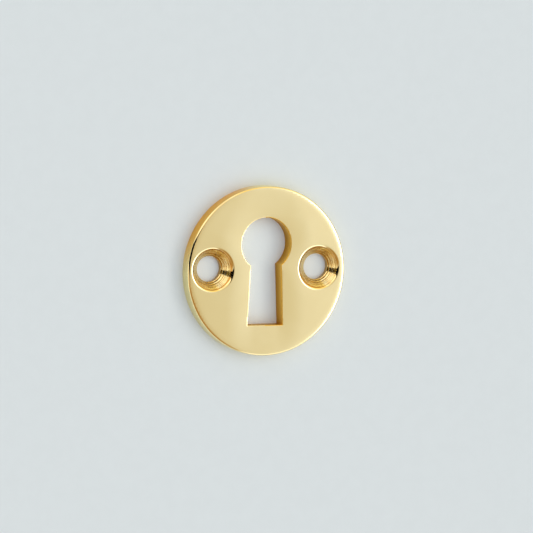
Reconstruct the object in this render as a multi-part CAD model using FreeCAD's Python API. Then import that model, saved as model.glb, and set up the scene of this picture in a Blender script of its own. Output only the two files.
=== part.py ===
import FreeCAD, Part
import math
import os

# Keyhole escutcheon: one polished brass plate that covers a lock's keyhole on a door or drawer.
# Millimetres. The origin is the middle of the flat back, +Z points out of the polished face,
# +Y points to the round end of the keyhole and +X to the right as the face is seen.

# Plate
edge_thickness = 2.7
crown = 0.4
rim_round = 0.35

# Keyhole
bow_diameter = 10.0
bow_height = 5.1
neck_width = 6.05
foot_width = 7.05
foot_depth = 10.2
keyhole_edge_round = 0.15

# Screw holes
screw_spacing = 21.8
screw_height = 0.5
screw_hole_diameter = 4.8
countersink_diameter = 8.3
countersink_angle = 82.0
lip_round = 0.6
# Metal left between the mouth of the left countersink and the rim; it sets the width of the plate.
screw_margin = 0.75
# The keyhole and the screw holes sit this far to the left of the disc's middle.
openings_offset = 0.2

# Cutting tools pass this far beyond the metal so that no skin is left behind.
overrun = 1.0
# The seams of turned shapes lie this many degrees round, in plain metal between the openings.
seam_turn = 45.0

Z_AXIS = FreeCAD.Vector(0, 0, 1)
ORIGIN = FreeCAD.Vector(0, 0, 0)

OPENINGS_MIDDLE = FreeCAD.Vector(-openings_offset, 0, 0)

plate_radius = (screw_spacing + countersink_diameter) / 2 + openings_offset + screw_margin
centre_thickness = edge_thickness + crown
dome_radius = (plate_radius ** 2 + crown ** 2) / (2 * crown)
dome_centre_z = centre_thickness - dome_radius


def face_z(distance):
    """Height of the domed face at a distance from the middle of the plate."""
    return dome_centre_z + math.sqrt(dome_radius ** 2 - distance ** 2)


def xz(x, z):
    return FreeCAD.Vector(x, 0, z)


def arc_about(centre, radius, start, end):
    """Arc edge from start to end, the short way round its centre."""
    half_way = (start + end) * 0.5 - centre
    half_way.normalize()
    return Part.Arc(start, centre + half_way * radius, end).toShape()


def line(start, end):
    return Part.makeLine(start, end)


# Blank: flat back, upright rim, a rounded edge that runs tangent into the shallow dome of the face.
dome_centre = xz(0, dome_centre_z)
round_centre_x = plate_radius - rim_round
round_reach = dome_radius - rim_round
round_centre = xz(round_centre_x, dome_centre_z + math.sqrt(round_reach ** 2 - round_centre_x ** 2))
outward = round_centre - dome_centre
outward.normalize()
back_middle = xz(0, 0)
back_edge = xz(plate_radius, 0)
rim_top = xz(plate_radius, round_centre.z)
face_edge = dome_centre + outward * dome_radius
face_middle = xz(0, centre_thickness)
section = Part.Wire([
    line(back_middle, back_edge),
    line(back_edge, rim_top),
    arc_about(round_centre, rim_round, rim_top, face_edge),
    arc_about(dome_centre, dome_radius, face_edge, face_middle),
    line(face_middle, back_middle),
])
blank = Part.Face(section).revolve(ORIGIN, Z_AXIS, 360)
blank.rotate(ORIGIN, Z_AXIS, seam_turn)

# Keyhole: a round bow above a slot that widens from the neck down to its square foot.
bow_radius = bow_diameter / 2
neck_half = neck_width / 2
foot_half = foot_width / 2
neck_y = bow_height - math.sqrt(bow_radius ** 2 - neck_half ** 2)
neck_right = FreeCAD.Vector(neck_half, neck_y, -overrun)
neck_left = FreeCAD.Vector(-neck_half, neck_y, -overrun)
foot_right = FreeCAD.Vector(foot_half, -foot_depth, -overrun)
foot_left = FreeCAD.Vector(-foot_half, -foot_depth, -overrun)
bow_top = FreeCAD.Vector(0, bow_height + bow_radius, -overrun)
keyhole_outline = Part.Wire([
    Part.Arc(neck_right, bow_top, neck_left).toShape(),
    line(neck_left, foot_left),
    line(foot_left, foot_right),
    line(foot_right, neck_right),
])
keyhole_cut = Part.Face(keyhole_outline).extrude(Z_AXIS * (centre_thickness + 2 * overrun))
keyhole_cut.translate(OPENINGS_MIDDLE)

# Screw holes: a plain land at the back and a conical countersink for the screw head.
screw_radius = screw_hole_diameter / 2
countersink_radius = countersink_diameter / 2
cone_slope = math.tan(math.radians(countersink_angle / 2))
screw_x = screw_spacing / 2
face_at_screw = face_z(math.hypot(screw_x, screw_height))
land_height = face_at_screw - (countersink_radius - screw_radius) / cone_slope
cone_top = face_at_screw + overrun
cone_top_radius = screw_radius + (cone_top - land_height) * cone_slope
screw_section = Part.makePolygon([
    xz(0, -overrun),
    xz(screw_radius, -overrun),
    xz(screw_radius, land_height),
    xz(cone_top_radius, cone_top),
    xz(0, cone_top),
    xz(0, -overrun),
])
screw_cut = Part.Face(screw_section).revolve(ORIGIN, Z_AXIS, 360)
screw_cut.rotate(ORIGIN, Z_AXIS, seam_turn)
plate = blank.cut(keyhole_cut)
for side in (1, -1):
    screw_middle = FreeCAD.Vector(side * screw_x, screw_height, 0)
    plate = plate.cut(screw_cut.translated(screw_middle + OPENINGS_MIDDLE))


def domed_face(solid):
    """The polished face: the largest of the faces that aren't flat."""
    curved = [face for face in solid.Faces if not isinstance(face.Surface, Part.Plane)]
    return max(curved, key=lambda face: face.Area)


def is_at_screw(edge):
    middle = edge.valueAt((edge.FirstParameter + edge.LastParameter) / 2)
    reach = math.hypot(abs(middle.x + openings_offset) - screw_x, middle.y - screw_height)
    return reach < countersink_radius * 1.2


def is_at_rim(edge):
    middle = edge.valueAt((edge.FirstParameter + edge.LastParameter) / 2)
    return math.hypot(middle.x, middle.y) > plate_radius - 2 * rim_round


# Buffing has softened the lips of the countersinks and the front edge of the keyhole.
lip_edges = [edge for edge in domed_face(plate).Edges if is_at_screw(edge)]
plate = plate.makeFillet(lip_round, lip_edges)
keyhole_edges = [
    edge for edge in domed_face(plate).Edges if not is_at_screw(edge) and not is_at_rim(edge)
]
plate = plate.makeFillet(keyhole_edge_round, keyhole_edges)

os.makedirs("parts", exist_ok=True)
plate.exportStep("parts/escutcheon_plate.step")
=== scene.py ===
"""Studio picture of a polished brass keyhole escutcheon that lies on pale paper."""

from math import atan2, cos, exp, hypot, log, pi, radians, sin, sqrt, tan

import bmesh
import bpy
from bpy.props import FloatProperty, FloatVectorProperty, IntProperty, PointerProperty
from mathutils import Matrix, Vector


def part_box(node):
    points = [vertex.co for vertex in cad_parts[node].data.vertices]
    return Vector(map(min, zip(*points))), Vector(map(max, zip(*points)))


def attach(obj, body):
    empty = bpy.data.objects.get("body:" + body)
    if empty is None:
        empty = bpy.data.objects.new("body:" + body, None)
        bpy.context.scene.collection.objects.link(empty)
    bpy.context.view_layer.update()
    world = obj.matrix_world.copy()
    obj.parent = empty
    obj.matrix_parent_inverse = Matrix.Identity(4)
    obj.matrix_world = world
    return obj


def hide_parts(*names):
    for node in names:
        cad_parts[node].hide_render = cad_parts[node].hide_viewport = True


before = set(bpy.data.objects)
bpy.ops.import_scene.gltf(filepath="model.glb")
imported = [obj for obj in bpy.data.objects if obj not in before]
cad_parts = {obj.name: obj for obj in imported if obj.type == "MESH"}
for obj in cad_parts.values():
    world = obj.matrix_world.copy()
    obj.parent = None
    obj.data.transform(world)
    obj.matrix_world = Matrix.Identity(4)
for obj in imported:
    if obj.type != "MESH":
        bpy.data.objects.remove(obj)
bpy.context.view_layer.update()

bl_info = {
    "name": "Keyhole escutcheon",
    "version": (1, 0, 0),
    "blender": (4, 5, 0),
    "location": "3D View > Sidebar > Escutcheon",
    "description": "Polished brass keyhole escutcheon on pale paper",
    "category": "Object",
}

NODE = "escutcheon_plate"
LOW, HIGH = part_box(NODE)
MM = 0.001

# Material slots of the plate's mesh, in the order in which its materials are added.
POLISHED, CUT, TURNED, BACK = range(4)

# Steps round the rim and the screw holes, down a countersink, and along the keyhole's outline.
RIM_STEPS = 360
SINK_STEPS = 144
CONE_STEPS = 4
ARC_STEPS, SIDE_STEPS, FOOT_STEPS = 120, 40, 26

# A countersink's mouth depends on the face's height and the other way round: rounds to settle both.
SETTLE_ROUNDS = 5
# The grid that cuts the face lies this far off the middle, in metres, so that no cut runs through
# a vertex.
GRID_SHIFT = 0.00001
# Edges that turn more than this stay sharp.
SHARP_TURN = radians(25)

# How distances run in the worn band round the keyhole: shortened above and below it, with corners
# rounded by a share of the foot's width, and the bow's band blended into the slot's.
END_SHORTENING = 1.7
CORNER_SHARE = 0.4
BAND_BLEND = 0.4 * MM

# Width and height of the picture in points, and width of the camera's sensor in millimetres.
PICTURE = 533
SENSOR = 36.0


def length(name, description, default):
    """A size in metres."""
    return FloatProperty(
        name=name, description=description, default=default, min=0.0, unit="LENGTH", precision=5)


def rotation(name, description, degrees):
    """An angle, given in degrees."""
    return FloatProperty(
        name=name, description=description, default=radians(degrees), unit="ROTATION")


def colour(name, description, default):
    """A colour as red, green and blue."""
    return FloatVectorProperty(
        name=name, description=description, default=default, size=3, min=0.0, max=1.0,
        subtype="COLOR")


class PlateSizes(bpy.types.PropertyGroup):
    """Sizes of the plate, its keyhole and its screw holes."""

    radius: length("Plate radius", "Half the width of the plate", (HIGH.x - LOW.x) / 2)
    edge: length(
        "Edge thickness", "Height of the face at the rim, before the rim is rounded", 2.7 * MM)
    crown: length("Crown", "Rise of the face from the rim to the middle", 0.4 * MM)
    rim_round: length("Rim rounding", "Radius between the face and the rim", 0.43 * MM)
    bow: length("Bow radius", "Radius of the round end of the keyhole", 5.0 * MM)
    bow_height: length(
        "Bow height", "How far the bow's centre lies above the plate's", 5.1 * MM)
    neck: length(
        "Neck width", "Half the width of the slot where it leaves the bow", 3.025 * MM)
    foot: length("Foot width", "Half the width of the slot at its square foot", 3.525 * MM)
    foot_depth: length(
        "Foot depth", "How far the foot lies below the plate's centre", 10.2 * MM)
    keyhole_round: length(
        "Keyhole rounding", "Radius of the keyhole's front edge", 0.15 * MM)
    screw_x: length(
        "Screw hole place", "Distance of a screw hole from the keyhole's middle line", 10.9 * MM)
    screw_height: length(
        "Screw hole height", "How far the screw holes lie above the plate's centre", 0.5 * MM)
    screw: length("Screw hole radius", "Radius of the plain hole at the back", 2.44 * MM)
    sink: length(
        "Countersink radius", "Radius of the countersink where it meets the face", 4.15 * MM)
    sink_angle: rotation(
        "Countersink angle", "Angle between opposite sides of a countersink", 82.0)
    lip_round: length("Lip rounding", "Radius of the buffed lip of a countersink", 0.6 * MM)
    offset: length(
        "Openings offset",
        "How far the openings' middle line lies to the left of the plate's centre", 0.2 * MM)
    buffed: length(
        "Buffed depth", "How deep the buffing wheel has worn the face at the keyhole", 0.18 * MM)
    buffed_rim: length(
        "Buffed depth at the rim", "How deep the buffing wheel has worn the face at the rim",
        0.07 * MM)
    buffed_lip: length(
        "Buffed depth at the lips",
        "How deep the buffing wheel has worn the face at a countersink", 0.03 * MM)
    buffed_reach: length(
        "Buffed reach", "How far from the keyhole the worn band fades out", 4.5 * MM)
    buffed_rim_reach: length(
        "Buffed reach at the rim", "How far from the rim the worn band fades out", 1.25 * MM)
    buffed_lip_reach: length(
        "Buffed reach at the lips", "How far from a countersink the worn band fades out",
        2.5 * MM)
    cell: length("Mesh size", "Width of the squares that the face is cut into", 0.4 * MM)
    steps: IntProperty(
        name="Rounding steps", description="Rings across each rounded edge", default=6, min=2)


class BrassFinish(bpy.types.PropertyGroup):
    """Colours and polish of the brass."""

    face: colour("Polished face", "Colour of the buffed face", (0.90, 0.76, 0.42))
    rim: colour("Rim", "Colour of the rim at the foot's end of the plate", (1.0, 0.87, 0.43))
    # Painted shade: the deeper orange of the rim at the bow's end stands in for the shaded paper
    # that the rim mirrors there.
    rim_painted_shade: colour(
        "Rim by the bow", "Deeper colour of the rim at the bow's end of the plate",
        (1.0, 0.55, 0.07))
    # Painted highlight: the paler rim on the right stands in for the window that it mirrors.
    rim_painted_highlight: colour(
        "Rim by the window", "Paler colour of the rim on the right", (1.0, 0.88, 0.52))
    # Painted light and shade: the countersinks' paler colour on the window's side is painted light,
    # and their deeper colour away from the window is painted shade.
    turned: colour(
        "Countersink", "Colour of the turned countersinks on the window's side",
        (0.98, 0.84, 0.45))
    turned_painted_shade: colour(
        "Countersink, far side", "Deeper colour of the countersinks away from the window",
        (1.0, 0.75, 0.25))
    groove: colour(
        "Turning marks", "Colour in the rings that the cutter left", (0.68, 0.41, 0.11))
    # Painted shade: the keyhole wall is deeper in colour near the back than near the face.
    filed: colour(
        "Keyhole wall", "Colour of the filed keyhole wall near the back", (0.62, 0.31, 0.01))
    filed_top: colour(
        "Keyhole wall at the face", "Colour of the filed keyhole wall near the face",
        (0.88, 0.54, 0.08))
    # Painted light: the paler colour of the keyhole's left wall, which faces the window.
    filed_painted_light: colour(
        "Keyhole wall by the window", "Brighter colour of the keyhole's left wall",
        (0.95, 0.86, 0.64))
    polish: FloatProperty(
        name="Polish", description="Roughness of the face", default=0.06, min=0.0, max=1.0)


class StageSetup(bpy.types.PropertyGroup):
    """Paper and camera."""

    paper: colour("Paper", "Colour of the paper under the plate", (0.695, 0.745, 0.745))
    yaw: rotation("Camera yaw", "Turn of the camera to the plate's left", 23.4)
    pitch: rotation("Camera pitch", "Tilt of the camera to the bow's side", 5.75)
    roll: rotation("Camera roll", "Turn of the camera about its own axis", 1.05)
    distance: length("Camera distance", "Distance from the camera to the plate", 1.2)
    scale: FloatProperty(
        name="Picture scale", description="Picture points to a metre at the plate",
        default=5316.0, min=1.0)
    centre_x: FloatProperty(
        name="Centre across", default=261.1,
        description="Where the plate's back centre lands, in points from the left")
    centre_y: FloatProperty(
        name="Centre down", default=269.7,
        description="Where the plate's back centre lands, in points from the top")


# Forms of the plate. All take their sizes from PlateSizes, and measure x from the openings'
# middle line.


def dome(s, x, y):
    """Height of the plain domed face."""
    ball = (s.radius ** 2 + s.crown ** 2) / (2 * s.crown)
    return s.edge + s.crown - ball + sqrt(ball ** 2 - (x - s.offset) ** 2 - y ** 2)


def side_normal(s):
    """Outward direction of the right side of the slot, and its neck point."""
    neck = Vector((s.neck, s.bow_height - sqrt(s.bow ** 2 - s.neck ** 2)))
    run = Vector((s.foot, -s.foot_depth)) - neck
    run.normalize()
    return Vector((-run.y, run.x)), neck


def keyhole_distance(s, x, y):
    """Rounded-off distance of a point of the face from the keyhole, shorter above and below it."""
    held = min(max(y, -s.foot_depth), s.bow_height + s.bow)
    y = held + (y - held) / END_SHORTENING
    out, neck = side_normal(s)
    to_bow = max(hypot(x, y - s.bow_height) - s.bow, 0.0)
    across = out.dot(Vector((abs(x), y)) - neck)
    soft = CORNER_SHARE * s.foot
    along = max(-s.foot_depth - y + soft, y - neck.y, 0.0)
    to_slot = max(hypot(max(across + soft, 0.0), along) - soft, 0.0)
    blended = -BAND_BLEND * log(exp(-to_bow / BAND_BLEND) + exp(-to_slot / BAND_BLEND))
    return max(blended, 0.0)


def worn(distance, reach):
    """Share of the buffed depth at a distance from an edge."""
    return 1 - sin(pi / 2 * min(distance / reach, 1.0))


def face(s, x, y):
    """Height of the polished face, worn a little lower at the keyhole, the rim and the lips."""
    at_key = s.buffed * worn(keyhole_distance(s, x, y), s.buffed_reach)
    from_rim = s.radius - hypot(x - s.offset, y)
    at_rim = s.buffed_rim * (1 - min(from_rim / s.buffed_rim_reach, 1.0)) ** 2
    from_lip = hypot(abs(x) - s.screw_x, y - s.screw_height) - s.sink
    at_lip = s.buffed_lip * worn(max(from_lip, 0.0), s.buffed_lip_reach)
    return dome(s, x, y) - at_key - at_rim - at_lip


def keyhole_corners(s, grow):
    """Right neck and right foot of the keyhole's outline, moved outwards by grow."""
    out, neck = side_normal(s)
    start = neck + out * grow
    along = Vector((out.y, -out.x))
    offset = start - Vector((0.0, s.bow_height))
    half = offset.dot(along)
    root = sqrt(half ** 2 - offset.length_squared + (s.bow + grow) ** 2)
    to_neck = min(-half - root, -half + root, key=abs)
    to_foot = (-s.foot_depth - grow - start.y) / along.y
    return start + along * to_neck, start + along * to_foot


# Mesh of the plate.


def faces_in(items):
    """The faces among the elements that an operator gives back."""
    return [item for item in items if isinstance(item, bmesh.types.BMFace)]


def circle(bm, steps, radius, middle):
    """Ring of vertices about a point."""
    place = Matrix.Translation(middle)
    return bmesh.ops.create_circle(bm, segments=steps, radius=radius, matrix=place)["verts"]


def closed_ring(start, following):
    """Vertices of a closed chain of edges, in order, beginning with two neighbours."""
    ring = [start, following]
    while True:
        edge_ends = [edge.other_vert(ring[-1]) for edge in ring[-1].link_edges]
        step = next(end for end in edge_ends if end is not ring[-2])
        if step is start:
            return ring
        ring.append(step)


def ring_edges(bm, ring):
    """Edges between the vertices of a ring, in order."""
    return [bm.edges.get((a, b)) for a, b in zip(ring, ring[1:] + ring[:1])]


def next_ring(bm, ring, place, finish=POLISHED):
    """Extrudes a ring once and moves each new vertex to where place(index) says."""
    made = bmesh.ops.extrude_edge_only(bm, edges=ring_edges(bm, ring))["geom"]
    fresh = {element for element in made if isinstance(element, bmesh.types.BMVert)}
    for part in faces_in(made):
        part.material_index = finish
    new = []
    for vert in ring:
        ends = [edge.other_vert(vert) for edge in vert.link_edges]
        new.append(next(end for end in ends if end in fresh))
    for index, vert in enumerate(new):
        vert.co = place(index)
    return new


def rim_rings(bm, s):
    """Rim, rounded from the face into the upright edge.

    Like the other functions on rings, it gives the edges that bound the face and the last ring,
    which lies on the back.
    """
    middle = Vector((s.offset, 0.0, 0.0))
    lean = atan2(2 * s.crown / s.radius + 2 * s.buffed_rim / s.buffed_rim_reach, 1.0)
    inner = s.radius - s.rim_round
    ring = circle(bm, RIM_STEPS, inner + s.rim_round * sin(lean), middle)
    for vert in ring:
        vert.co.z = face(s, vert.co.x, vert.co.y)
    face_edges = ring_edges(bm, ring)
    outs = [Vector((vert.co.x - s.offset, vert.co.y, 0.0)).normalized() for vert in ring]
    tops = [vert.co.z for vert in ring]
    for step in range(1, s.steps + 1):
        turn = lean + (pi / 2 - lean) * step / s.steps
        reach = inner + s.rim_round * sin(turn)
        drop = s.rim_round * (cos(lean) - cos(turn))
        ring = next_ring(
            bm, ring, lambda i: middle + outs[i] * reach + Vector((0, 0, tops[i] - drop)))
    return face_edges, next_ring(bm, ring, lambda i: middle + outs[i] * s.radius)


def keyhole_ring(bm, s, grow):
    """The keyhole's outline as a ring of vertices on the plane z = 0."""
    neck, foot = keyhole_corners(s, grow)
    others = set(bm.verts)
    seed = bm.verts.new((neck.x, neck.y, 0.0))
    middle = Vector((0.0, s.bow_height, 0.0))
    turn = 2 * (pi - atan2(neck.x, s.bow_height - neck.y))
    bmesh.ops.spin(
        bm, geom=[seed], cent=middle, axis=(0, 0, 1), angle=turn, steps=ARC_STEPS,
        use_duplicate=False)
    ends = [vert for vert in bm.verts if vert not in others and len(vert.link_edges) == 1]
    last, first = sorted(ends, key=lambda vert: vert.co.x)
    following = first.link_edges[0].other_vert(first)
    foot_left = bm.verts.new((-foot.x, foot.y, 0.0))
    foot_right = bm.verts.new((foot.x, foot.y, 0.0))
    sides = (
        (last, foot_left, SIDE_STEPS),
        (foot_left, foot_right, FOOT_STEPS),
        (foot_right, first, SIDE_STEPS),
    )
    for start, end, cuts in sides:
        edge = bm.edges.new((start, end))
        for left in range(cuts, 1, -1):
            edge = bmesh.utils.edge_split(edge, end, 1 - 1 / left)[0]
    return closed_ring(first, following)


def keyhole_point(s, grow, index):
    """Where vertex number index of the keyhole's ring lies when the outline has grown."""
    neck, foot = keyhole_corners(s, grow)
    left_neck = Vector((-neck.x, neck.y, 0.0))
    left_foot = Vector((-foot.x, foot.y, 0.0))
    if index <= ARC_STEPS:
        half = pi - atan2(neck.x, s.bow_height - neck.y)
        turn = pi / 2 - half + 2 * half * index / ARC_STEPS
        reach = s.bow + grow
        return Vector((reach * cos(turn), reach * sin(turn) + s.bow_height, 0.0))
    index -= ARC_STEPS
    if index <= SIDE_STEPS:
        return left_neck.lerp(left_foot, index / SIDE_STEPS)
    index -= SIDE_STEPS
    if index <= FOOT_STEPS:
        return left_foot.lerp(foot.to_3d(), index / FOOT_STEPS)
    index -= FOOT_STEPS
    return foot.to_3d().lerp(neck.to_3d(), index / SIDE_STEPS)


def keyhole_rings(bm, s):
    """Keyhole: softened front edge, which is filed on the right, and a straight wall."""
    lean = atan2(pi / 2 * s.buffed / s.buffed_reach, 1.0)
    ring = keyhole_ring(bm, s, s.keyhole_round * (1 - sin(lean)))
    for vert in ring:
        vert.co.z = face(s, vert.co.x, vert.co.y)
    face_edges = ring_edges(bm, ring)
    tops = [vert.co.z for vert in ring]
    for step in range(1, s.steps + 1):
        turn = lean + (pi / 2 - lean) * step / s.steps
        grow = s.keyhole_round * (1 - sin(turn))
        drop = s.keyhole_round * (cos(lean) - cos(turn))
        ring = next_ring(
            bm, ring, lambda i: keyhole_point(s, grow, i) + Vector((0, 0, tops[i] - drop)))
        for part in {part for vert in ring if vert.co.x > 0 for part in vert.link_faces}:
            part.material_index = CUT
    return face_edges, next_ring(bm, ring, lambda i: keyhole_point(s, 0.0, i), CUT)


def screw_hole_rings(bm, s, side):
    """Screw hole: buffed lip, turned cone and plain land."""
    middle = Vector((side * s.screw_x, s.screw_height, 0.0))
    flare, lip_turn = tan(s.sink_angle / 2), pi / 2 - s.sink_angle / 2
    land = dome(s, s.screw_x + s.offset, s.screw_height) - (s.sink - s.screw) / flare
    lip_reach = s.lip_round * tan(lip_turn / 2)
    ring = circle(bm, SINK_STEPS, s.sink, middle)
    outs = [(vert.co - middle).normalized() for vert in ring]
    for vert, out in zip(ring, outs):
        for _ in range(SETTLE_ROUNDS):
            height = face(s, vert.co.x, vert.co.y)
            vert.co = middle + out * (s.screw + (height - land) * flare + lip_reach)
        vert.co.z = height
    face_edges = ring_edges(bm, ring)
    mouths = [(vert.co.xy - middle.xy).length for vert in ring]
    heights = [vert.co.z for vert in ring]
    for step in range(1, s.steps + 1):
        turn = lip_turn * step / s.steps
        inward, drop = s.lip_round * sin(turn), s.lip_round * (1 - cos(turn))
        ring = next_ring(
            bm, ring,
            lambda i: middle + outs[i] * (mouths[i] - inward) + Vector((0, 0, heights[i] - drop)))
    cone_tops = [(vert.co.xy - middle.xy).length for vert in ring]
    for step in range(1, CONE_STEPS + 1):
        left = 1 - step / CONE_STEPS

        def cone_point(i):
            """Place on the cone, which narrows from its top to the hole at the land."""
            beyond = (cone_tops[i] - s.screw) * left
            return middle + outs[i] * (s.screw + beyond) + Vector((0, 0, land + beyond / flare))

        ring = next_ring(bm, ring, cone_point, TURNED)
    return face_edges, next_ring(bm, ring, lambda i: middle + outs[i] * s.screw, TURNED)


def fill_face(bm, s, bounds):
    """Polished face: filled flat, cut into small squares, then lifted to its dome."""
    for vert in {vert for edge in bounds for vert in edge.verts}:
        vert.co.z = 0.0
    filled = bmesh.ops.triangle_fill(bm, use_beauty=True, use_dissolve=False, edges=bounds)
    skin = faces_in(filled["geom"])
    cuts = int(s.radius / s.cell)
    for axis in (Vector((1, 0, 0)), Vector((0, 1, 0))):
        for step in range(-cuts, cuts + 1):
            edges = {edge for part in skin for edge in part.edges}
            verts = {vert for part in skin for vert in part.verts}
            cut = bmesh.ops.bisect_plane(
                bm, geom=[*set(skin), *edges, *verts], dist=1e-8,
                plane_co=axis * (step * s.cell + GRID_SHIFT), plane_no=axis)
            skin = faces_in(cut["geom"])
    for vert in {vert for part in skin for vert in part.verts}:
        vert.co.z = face(s, vert.co.x, vert.co.y)


def plate_mesh(s):
    """The whole plate: worked face, rounded edges, walls and flat back."""
    bm = bmesh.new()
    sides = [rim_rings(bm, s), keyhole_rings(bm, s)]
    sides += [screw_hole_rings(bm, s, side) for side in (-1, 1)]
    fill_face(bm, s, [edge for face_edges, _ in sides for edge in face_edges])
    back_edges = [edge for _, ring in sides for edge in ring_edges(bm, ring)]
    filled = bmesh.ops.triangle_fill(bm, use_beauty=True, use_dissolve=False, edges=back_edges)
    for part in faces_in(filled["geom"]):
        part.material_index = BACK
    bmesh.ops.translate(bm, vec=(-s.offset, 0.0, 0.0), verts=bm.verts[:])
    bmesh.ops.recalc_face_normals(bm, faces=bm.faces[:])
    for part in bm.faces:
        part.smooth = True
    for edge in bm.edges:
        edge.smooth = edge.calc_face_angle() < SHARP_TURN
    return bm


class Wire:
    """One output of a node tree, so that shader maths is written as plain Python."""

    def __init__(self, shader, socket):
        self.shader = shader
        self.socket = socket

    def math(self, operation, *values):
        return self.shader.node(
            "ShaderNodeMath", {"operation": operation}, dict(enumerate(values)))

    def __add__(self, other):
        return self.math("ADD", self, other)

    def __sub__(self, other):
        return self.math("SUBTRACT", self, other)

    def __rsub__(self, other):
        return self.math("SUBTRACT", other, self)

    def __mul__(self, other):
        return self.math("MULTIPLY", self, other)

    def __truediv__(self, other):
        return self.math("DIVIDE", self, other)

    def __pow__(self, other):
        return self.math("POWER", self, other)

    __radd__ = __add__
    __rmul__ = __mul__

    def absolute(self):
        return self.math("ABSOLUTE", self)


class Shader:
    """The node tree of a material or of the world."""

    def __init__(self, tree):
        self.tree = tree
        tree.nodes.clear()

    def node(self, kind, settings=None, inputs=None, output=0):
        """Adds a node, makes its settings, fills its sockets and returns one output."""
        node = self.tree.nodes.new(kind)
        for name, value in (settings or {}).items():
            if name == "stops":
                ramp = node.color_ramp
                while len(ramp.elements) < len(value):
                    ramp.elements.new(1.0)
                for element, (place, shade) in zip(ramp.elements, value):
                    element.position = place
                    element.color = (*shade, 1.0)
            else:
                setattr(node, name, value)
        for name, value in (inputs or {}).items():
            if isinstance(value, Wire):
                self.tree.links.new(value.socket, node.inputs[name])
            else:
                node.inputs[name].default_value = value
        return Wire(self, node.outputs[output]) if node.outputs else None

    def parts(self, vector):
        """The three numbers of a vector."""
        split = self.node("ShaderNodeSeparateXYZ", {}, {0: vector}).socket.node
        return [Wire(self, output) for output in split.outputs]

    def mix(self, share, first, second, blend="MIX"):
        """Blend of two colours; sockets 6 and 7 and output 2 are the node's colours."""
        settings = {"data_type": "RGBA", "blend_type": blend}
        return self.node("ShaderNodeMix", settings, {0: share, 6: first, 7: second}, output=2)

    def span(self, value, low, high):
        """Value carried smoothly from low..high to 0..1 and held there; low may be the larger."""
        return self.node(
            "ShaderNodeMapRange", {"interpolation_type": "SMOOTHSTEP"},
            {0: value, 1: low, 2: high})

    def surface(self, wire):
        """Ends a material's tree."""
        self.node("ShaderNodeOutputMaterial", {}, {"Surface": wire})


def material(name):
    """A new material and the shader of its tree."""
    made = bpy.data.materials.new(name)
    made.use_nodes = True
    return made, Shader(made.node_tree)


def object_place(sh):
    """Place on the object in millimetres, as a vector."""
    place = sh.node("ShaderNodeTexCoord", output="Object")
    return sh.node("ShaderNodeVectorMath", {"operation": "SCALE"}, {0: place, "Scale": 1 / MM})


def noise(sh, vector, scale, detail=3.0, roughness=0.5):
    """Soft noise from 0 to 1; scale counts its waves to a millimetre."""
    inputs = {"Vector": vector, "Scale": scale, "Detail": detail, "Roughness": roughness}
    return sh.node("ShaderNodeTexNoise", {}, inputs)


def stretched(sh, place, x, y, z):
    """Place scaled along each axis, so that noise on it becomes strokes."""
    return sh.node("ShaderNodeVectorMath", {"operation": "MULTIPLY"}, {0: place, 1: (x, y, z)})


def brass(sh, colour, rough, height, depth):
    """Bare metal with a small relief, depth in metres."""
    normal = sh.node(
        "ShaderNodeBump", {}, {"Strength": 1.0, "Distance": depth, "Height": height})
    inputs = {"Base Color": colour, "Metallic": 1.0, "Roughness": rough, "Normal": normal}
    return sh.node("ShaderNodeBsdfPrincipled", {}, inputs)


def shades(colour, *factors):
    """A colour as it is, or darkened, as the four numbers that a socket takes."""
    return (*[part * factor for part, factor in zip(colour, factors or (1, 1, 1))], 1.0)


# How much the marks of each finish add to its roughness, and their relief in metres.
WHEEL_SPREAD, WHEEL_RELIEF = 0.03, 0.4e-6
FILE_ROUGH, FILE_SPREAD, FILE_RELIEF = 0.34, 0.2, 10e-6
CUTTER_ROUGH, CUTTER_SPREAD, CUTTER_RELIEF = 0.05, 0.07, 50e-6
BELT_ROUGH, BELT_SPREAD, BELT_RELIEF = 0.28, 0.15, 8e-6
# Height of the fine marks against the main ones.
GRAIN_HEIGHT, CHATTER_HEIGHT = 0.4, 0.05

# How far a colour darkens, as red, green and blue.
FACE_CLOUD = (0.985, 0.975, 0.95)
STROKE_BOTTOM = (0.85, 0.8, 0.7)
# Painted shade: the darker ring at a countersink's land and the amber line under its lip.
LAND_PAINTED_SHADE = (0.9, 0.9, 0.9)
LIP_PAINTED_SHADE = (0.9, 0.8, 0.7)
BELT_BOTTOM = (0.85, 0.85, 0.85)
PAPER_MOTTLE = (0.985, 0.985, 0.985)

# Limits between which one colour gives way to the next: levels of noise, then sines and cosines
# round the plate's and a hole's centre, then millimetres inwards from the rim, upwards and along.
CLOUD_LEVELS, RING_LEVELS, MOTTLE_LEVELS = (0.35, 0.65), (0.34, 0.53), (0.3, 0.7)
BOW_SIDE, LEFT_SIDE, RIGHT_SIDE = (-0.1, 0.5), (0.0, -0.42), (0.0, 0.5)
LIT_SIDE = (-0.4, 0.6)
RIM_START, RIM_FULL = 0.1, 0.01
WALL_HEIGHTS, LAND_HEIGHTS, LIP_HEIGHTS = (0.5, 2.9), (0.85, 1.0), (2.42, 2.55)
LEFT_WALL, ABOVE_FOOT = (-1.0, -2.0), (-10.15, -10.05)


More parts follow.
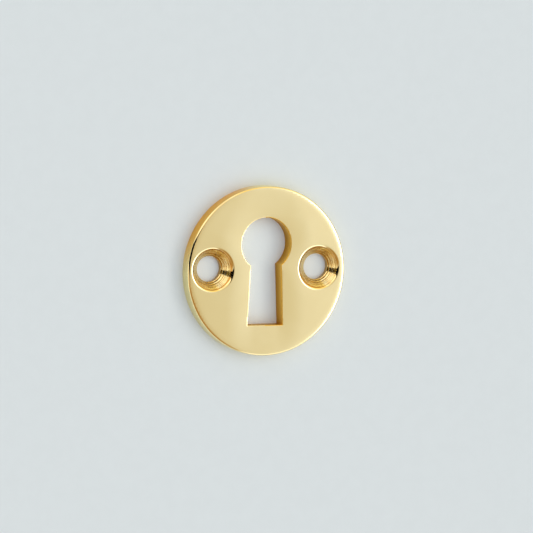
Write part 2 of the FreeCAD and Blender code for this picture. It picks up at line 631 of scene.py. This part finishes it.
def polished_brass(look, s):
    """Buffed face and rim: mirror-like with hair-fine wheel marks."""
    made, sh = material("polished brass")
    place = object_place(sh)
    x, y, _ = sh.parts(place)
    reach = (x * x + y * y) ** 0.5
    marks = noise(sh, stretched(sh, place, 1.5, 14.0, 3.0), scale=1.0, detail=4.0, roughness=0.6)
    clouds = sh.span(noise(sh, place, scale=0.16, detail=2.0), *CLOUD_LEVELS)
    face_tone = sh.mix(clouds, shades(look.face), shades(look.face, *FACE_CLOUD))
    # Painted reflection: the rim is deeper orange towards the upper left (painted shade) and paler
    # towards the window on the right (painted highlight).
    upper_left = sh.span(y / reach, *BOW_SIDE) * sh.span(x / reach, *LEFT_SIDE)
    rim_tone = sh.mix(upper_left, shades(look.rim), shades(look.rim_painted_shade))
    rim_tone = sh.mix(sh.span(x / reach, *RIGHT_SIDE), rim_tone, shades(look.rim_painted_highlight))
    edge = s.radius / MM
    base = sh.mix(sh.span(reach, edge - RIM_START, edge - RIM_FULL), face_tone, rim_tone)
    sh.surface(brass(sh, base, look.polish + WHEEL_SPREAD * marks, marks, WHEEL_RELIEF))
    return made


def filed_brass(look):
    """Keyhole wall: filed brass that the buffing wheel never reached."""
    made, sh = material("filed brass")
    place = object_place(sh)
    x, y, z = sh.parts(place)
    strokes = noise(sh, stretched(sh, place, 6.0, 6.0, 0.5), scale=1.0, detail=4.0, roughness=0.65)
    grain = noise(sh, place, scale=9.0)
    # The wall is deeper in colour near the back, a painted shade where it mirrors the paper; each
    # stroke is darker in its bottom.
    height = sh.span(z, *WALL_HEIGHTS)
    bottom = sh.mix(
        height, shades(look.filed, *STROKE_BOTTOM), shades(look.filed_top, *STROKE_BOTTOM))
    base = sh.mix(strokes, bottom, sh.mix(height, shades(look.filed), shades(look.filed_top)))
    # Painted light: the left wall, which faces the window, is paler.
    left_wall = sh.span(x, *LEFT_WALL) * sh.span(y, *ABOVE_FOOT)
    base = sh.mix(left_wall, base, shades(look.filed_painted_light))
    relief = strokes + GRAIN_HEIGHT * grain
    sh.surface(brass(sh, base, FILE_ROUGH + FILE_SPREAD * grain, relief, FILE_RELIEF))
    return made


def turned_brass(look, s):
    """Countersinks: bright metal with the rings that the cutter left."""
    made, sh = material("turned brass")
    place = object_place(sh)
    x, y, z = sh.parts(place)
    # Place from the nearest hole's centre, with across growing away from the keyhole.
    across = (x + s.offset / MM).absolute() - s.screw_x / MM
    along = y - s.screw_height / MM
    reach = (across * across + along * along) ** 0.5
    rings = sh.node(
        "ShaderNodeTexNoise", {"noise_dimensions": "1D"},
        {"W": reach, "Scale": 5.5, "Detail": 3.0, "Roughness": 0.6})
    chatter = noise(sh, place, scale=1.2, detail=2.0)
    # Painted light: each countersink is paler towards its lower right and deeper, a painted shade,
    # towards its upper left.
    lower_right = (across * x.math("SIGN", x) - along) / reach
    painted_light_tone = sh.mix(
        sh.span(lower_right, *LIT_SIDE), shades(look.turned_painted_shade), shades(look.turned))
    base = sh.mix(sh.span(rings, *RING_LEVELS), shades(look.groove), painted_light_tone)
    # Painted shade: a darker ring at the land and an amber line under the lip.
    base = sh.mix(sh.span(z, *LAND_HEIGHTS), shades(look.groove, *LAND_PAINTED_SHADE), base)
    base = sh.mix(sh.span(z, *LIP_HEIGHTS), base, shades(look.groove, *LIP_PAINTED_SHADE))
    relief = rings + CHATTER_HEIGHT * chatter
    sh.surface(brass(sh, base, CUTTER_ROUGH + CUTTER_SPREAD * rings, relief, CUTTER_RELIEF))
    return made


def back_brass(look):
    """Flat back: linished straight off the belt."""
    made, sh = material("linished brass")
    strokes = stretched(sh, object_place(sh), 0.8, 20.0, 1.0)
    belt = noise(sh, strokes, scale=1.0, detail=4.0, roughness=0.6)
    base = sh.mix(belt, shades(look.face, *BELT_BOTTOM), shades(look.face))
    sh.surface(brass(sh, base, BELT_ROUGH + BELT_SPREAD * belt, belt, BELT_RELIEF))
    return made


class ESCUTCHEON_OT_plate(bpy.types.Operator):
    """Builds the plate with its keyhole and screw holes, and gives it its brass"""

    bl_idname = "escutcheon.plate"
    bl_label = "Build plate"

    def execute(self, context):
        s, look = context.scene.plate_sizes, context.scene.brass_finish
        bm = plate_mesh(s)
        mesh = bpy.data.meshes.new("polished_plate")
        bm.to_mesh(mesh)
        bm.free()
        finishes = {
            POLISHED: polished_brass(look, s),
            CUT: filed_brass(look),
            TURNED: turned_brass(look, s),
            BACK: back_brass(look),
        }
        for slot in sorted(finishes):
            mesh.materials.append(finishes[slot])
        plate = bpy.data.objects.new("polished_plate", mesh)
        context.scene.collection.objects.link(plate)
        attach(plate, "root")
        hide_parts(NODE)
        return {"FINISHED"}


# Stage.

PAPER_SIZE = 3.0  # metres

# The card that draws the dark line at the left rim and the dark wedges in the countersinks.
CARD_CENTRE = (-0.978, 0.226, 1.115)
CARD_WIDTH, CARD_HEIGHT = 0.66, 2.9
CARD_SHADE = (0.01, 0.01, 0.01)

# Light by angle, in degrees from the window side's horizon over the zenith to the far wall's
# horizon: level, then green and blue against red. The first is what lights the stage, the second
# what the metal mirrors.
ROOM = (
    (0, 0.38, 0.98, 0.97),
    (31, 0.46, 0.98, 0.97),
    (39, 2.32, 0.92, 0.82),
    (49, 2.08, 0.925, 0.83),
    (56, 1.44, 0.945, 0.87),
    (62, 1.09, 0.985, 0.96),
    (73, 1.09, 1.025, 1.07),
    (90, 1.15, 1.05, 1.13),
    (105, 1.06, 1.05, 1.14),
    (120, 0.75, 1.03, 1.12),
    (140, 0.38, 1.02, 1.09),
    (180, 0.28, 1.02, 1.09),
)
SEEN_IN_METAL = (
    (0, 0.6, 0.9, 0.7),
    (27, 0.7, 0.9, 0.7),
    (34, 5.0, 1.05, 1.15),
    (49, 5.0, 1.05, 1.15),
    (54, 2.3, 1.06, 1.18),
    (57.5, 1.25, 1.03, 1.08),
    (60.2, 1.03, 1.01, 1.02),
    (63.2, 0.95, 1.0, 1.0),
    (66.2, 0.89, 1.0, 0.99),
    (69.2, 0.845, 0.985, 0.94),
    (72.2, 0.80, 0.97, 0.88),
    (75.5, 0.77, 0.95, 0.84),
    (79, 0.70, 0.91, 0.72),
    (90, 0.65, 0.82, 0.58),
    (104, 0.64, 0.80, 0.56),
    (124, 1.0, 0.92, 0.82),
    (145, 0.56, 0.74, 0.38),
    (157, 0.80, 0.85, 0.6),
    (164, 1.65, 0.94, 0.84),
    (180, 1.85, 0.95, 0.88),
)
# A ramp holds colours up to 1, so all levels are divided by this and the strength makes up for it.
BRIGHTEST = 6.0

# The window ends this far from its middle along y; past its ends the metal mirrors a plain wall.
WINDOW_MIDDLE, WINDOW_END, WALL_START = -0.08, 0.2, 0.4
WALL_LIGHT = (1.08, 1.15, 1.2)
# The mirrored room is askew: its angles turn with y, down to this value of y.
ASKEW, ASKEW_FROM = 0.3, -0.15

# The room fades towards its ends, and this gain in its middle makes up for it on the paper.
MIDDLE_GAIN = 1.25

# Patches of the room that only the metal mirrors. Each limit names an axis of the direction, where
# the patch begins to show and where it shows in full; the light follows as red, green and blue.
LIT_CORNER = (("x", 0.15, -0.3), ("y", 0.15, 0.5))
CORNER_GAIN = 1.1
PATCHES = (
    # Window beyond the foot, and the same window towards the bow.
    ((("x", 0.05, 0.3), ("y", -0.3, -0.45), ("z", 0.12, 0.25), ("z", 0.68, 0.5)),
     (1.7, 1.7, 1.75)),
    ((("x", 0.2, 0.35), ("y", 0.3, 0.45), ("y", 0.8, 0.66), ("z", 0.3, 0.42), ("z", 0.76, 0.66)),
     (2.3, 2.25, 2.15)),
    # Dim corner on the left of the foot.
    ((("x", 0.28, -0.05), ("y", -0.08, -0.3), ("z", 0.2, 0.34)), (0.46, 0.27, 0.09)),
    # Low wall in the lit corner on the left of the bow.
    ((*LIT_CORNER, ("z", 0.4, 0.25)), (0.56, 0.58, 0.60)),
    # Warm wall straight beyond the bow.
    ((("x", -0.15, 0.1), ("y", 0.35, 0.75)), (1.15, 0.92, 0.42)),
)


def paper_material(stage):
    """Smooth uncoated paper with a faint mottle."""
    made, sh = material("paper")
    mottle = noise(sh, object_place(sh), scale=0.35, detail=5.0, roughness=0.6)
    tone = sh.mix(
        sh.span(mottle, *MOTTLE_LEVELS), shades(stage.paper, *PAPER_MOTTLE), shades(stage.paper))
    normal = sh.node(
        "ShaderNodeBump", {}, {"Strength": 0.2, "Distance": 0.0002, "Height": mottle})
    inputs = {"Base Color": tone, "Roughness": 0.9, "Specular IOR Level": 0.1, "Normal": normal}
    sh.surface(sh.node("ShaderNodeBsdfPrincipled", {}, inputs))
    return made


def grid_object(name, finish, size, matrix=Matrix()):
    """A flat square of one face, put in place in its mesh and linked to the scene."""
    bm = bmesh.new()
    bmesh.ops.create_grid(bm, x_segments=1, y_segments=1, size=size)
    bmesh.ops.transform(bm, matrix=matrix, verts=bm.verts[:])
    mesh = bpy.data.meshes.new(name)
    bm.to_mesh(mesh)
    bm.free()
    mesh.materials.append(finish)
    made = bpy.data.objects.new(name, mesh)
    bpy.context.scene.collection.objects.link(made)
    return made


def card(name, centre, width, height, shade):
    """A plain studio card that faces the plate and shows only in reflections."""
    made, sh = material(name)
    sh.surface(sh.node("ShaderNodeBsdfDiffuse", {}, {"Color": shades(shade), "Roughness": 1.0}))
    aim = (-Vector(centre)).to_track_quat("Z", "Y").to_matrix().to_4x4()
    shape = Matrix.Diagonal((width, height, 1, 1))
    panel = grid_object(name, made, 0.5, Matrix.Translation(centre) @ aim @ shape)
    panel.visible_camera = False
    panel.visible_diffuse = False
    panel.visible_shadow = False


def room_light(sh, x, z, levels):
    """Colour of the room in a direction, by its angle about the plate's long axis."""
    turn = z.math("ARCTAN2", z, x) / pi
    stops = [
        (angle / 180, [level * share / BRIGHTEST for share in (1.0, green, blue)])
        for angle, level, green, blue in levels
    ]
    return sh.node("ShaderNodeValToRGB", {"stops": stops}, {0: turn})


def patch(sh, axes, limits):
    """Share of a patch of the room in a direction: the product of its limits."""
    share = 1.0
    for axis, begins, full in limits:
        share = share * sh.span(axes[axis], begins, full)
    return share


def mirrored_room(sh, x, y, z):
    """Colour of the room as the metal mirrors it, divided by BRIGHTEST."""
    axes = {"x": x, "y": y, "z": z}
    light = room_light(sh, x + ASKEW * y.math("MAXIMUM", y, ASKEW_FROM), z, SEEN_IN_METAL)
    beside_window = sh.span((y - WINDOW_MIDDLE).absolute(), WINDOW_END, WALL_START)
    scale = (1 / BRIGHTEST,) * 3
    light = sh.mix(beside_window, light, shades(WALL_LIGHT, *scale), "DARKEN")
    for limits, level in PATCHES:
        light = sh.mix(patch(sh, axes, limits), light, shades(level, *scale))
    gain = 1 + CORNER_GAIN * patch(sh, axes, LIT_CORNER)
    return sh.node("ShaderNodeBackground", {}, {"Color": light, "Strength": BRIGHTEST * gain})


def studio_world(context):
    """Soft room light with a long window on the right, and what the metal mirrors of it."""
    world = bpy.data.worlds.new("studio")
    context.scene.world = world
    world.use_nodes = True
    sh = Shader(world.node_tree)
    x, y, z = sh.parts(sh.node("ShaderNodeTexCoord", output="Generated"))
    room = sh.node(
        "ShaderNodeBackground", {},
        {"Color": room_light(sh, x, z, ROOM), "Strength": BRIGHTEST * (MIDDLE_GAIN - y * y)})
    pale = sh.node(
        "ShaderNodeBackground", {},
        {"Color": shades(context.scene.stage_setup.paper), "Strength": 1.0})
    glossy_ray = sh.node("ShaderNodeLightPath", output="Is Glossy Ray")
    camera_ray = sh.node("ShaderNodeLightPath", output="Is Camera Ray")
    lit = sh.node(
        "ShaderNodeMixShader", {}, {0: glossy_ray, 1: room, 2: mirrored_room(sh, x, y, z)})
    both = sh.node("ShaderNodeMixShader", {}, {0: camera_ray, 1: lit, 2: pale})
    sh.node("ShaderNodeOutputWorld", {}, {"Surface": both})


def camera_axes(stage):
    """Right, up and backward directions of the camera."""
    yaw, pitch, roll = stage.yaw, stage.pitch, stage.roll
    back = Vector((-sin(yaw) * cos(pitch), sin(pitch), cos(yaw) * cos(pitch)))
    right = Vector((0, 1, 0)).cross(back).normalized()
    up = back.cross(right)
    return right * cos(roll) + up * sin(roll), up * cos(roll) - right * sin(roll), back


def place_camera(scene, stage):
    """A camera that looks along the photograph's angle, with the plate where it lies there."""
    right, up, back = camera_axes(stage)
    side = (PICTURE / 2 - stage.centre_x) / stage.scale
    rise = (stage.centre_y - PICTURE / 2) / stage.scale
    view = bpy.data.cameras.new("camera")
    view.sensor_width = SENSOR
    view.lens = SENSOR * stage.scale * stage.distance / PICTURE
    view.clip_start = 0.01
    holder = bpy.data.objects.new("camera", view)
    place = back * stage.distance + right * side + up * rise
    turned = Matrix((right, up, back)).transposed().to_4x4()
    holder.matrix_world = Matrix.Translation(place) @ turned
    scene.collection.objects.link(holder)
    scene.camera = holder


class ESCUTCHEON_OT_stage(bpy.types.Operator):
    """Lays the paper and sets the light and the camera"""

    bl_idname = "escutcheon.stage"
    bl_label = "Set the stage"

    def execute(self, context):
        scene, stage = context.scene, context.scene.stage_setup
        scene.view_settings.view_transform = "Standard"
        paper = grid_object("paper_sheet", paper_material(stage), PAPER_SIZE / 2)
        studio_world(context)
        card("dark_card", CARD_CENTRE, CARD_WIDTH, CARD_HEIGHT, CARD_SHADE)
        place_camera(scene, stage)
        return {"FINISHED"}


class ESCUTCHEON_PT_panel(bpy.types.Panel):
    """Sizes, brass and stage of the escutcheon"""

    bl_idname = "ESCUTCHEON_PT_panel"
    bl_label = "Keyhole escutcheon"
    bl_space_type = "VIEW_3D"
    bl_region_type = "UI"
    bl_category = "Escutcheon"

    def draw(self, context):
        scene = context.scene
        for group in (scene.plate_sizes, scene.brass_finish, scene.stage_setup):
            column = self.layout.column(align=True)
            for name in group.__annotations__:
                column.prop(group, name)
        self.layout.operator("escutcheon.plate")
        self.layout.operator("escutcheon.stage")


CLASSES = (
    PlateSizes,
    BrassFinish,
    StageSetup,
    ESCUTCHEON_OT_plate,
    ESCUTCHEON_OT_stage,
    ESCUTCHEON_PT_panel,
)


def register():
    for cls in CLASSES:
        bpy.utils.register_class(cls)
    bpy.types.Scene.plate_sizes = PointerProperty(type=PlateSizes)
    bpy.types.Scene.brass_finish = PointerProperty(type=BrassFinish)
    bpy.types.Scene.stage_setup = PointerProperty(type=StageSetup)


def unregister():
    del bpy.types.Scene.stage_setup
    del bpy.types.Scene.brass_finish
    del bpy.types.Scene.plate_sizes
    for cls in reversed(CLASSES):
        bpy.utils.unregister_class(cls)


def main():
    register()
    bpy.ops.escutcheon.plate()
    bpy.ops.escutcheon.stage()


if __name__ == "__main__":
    main()
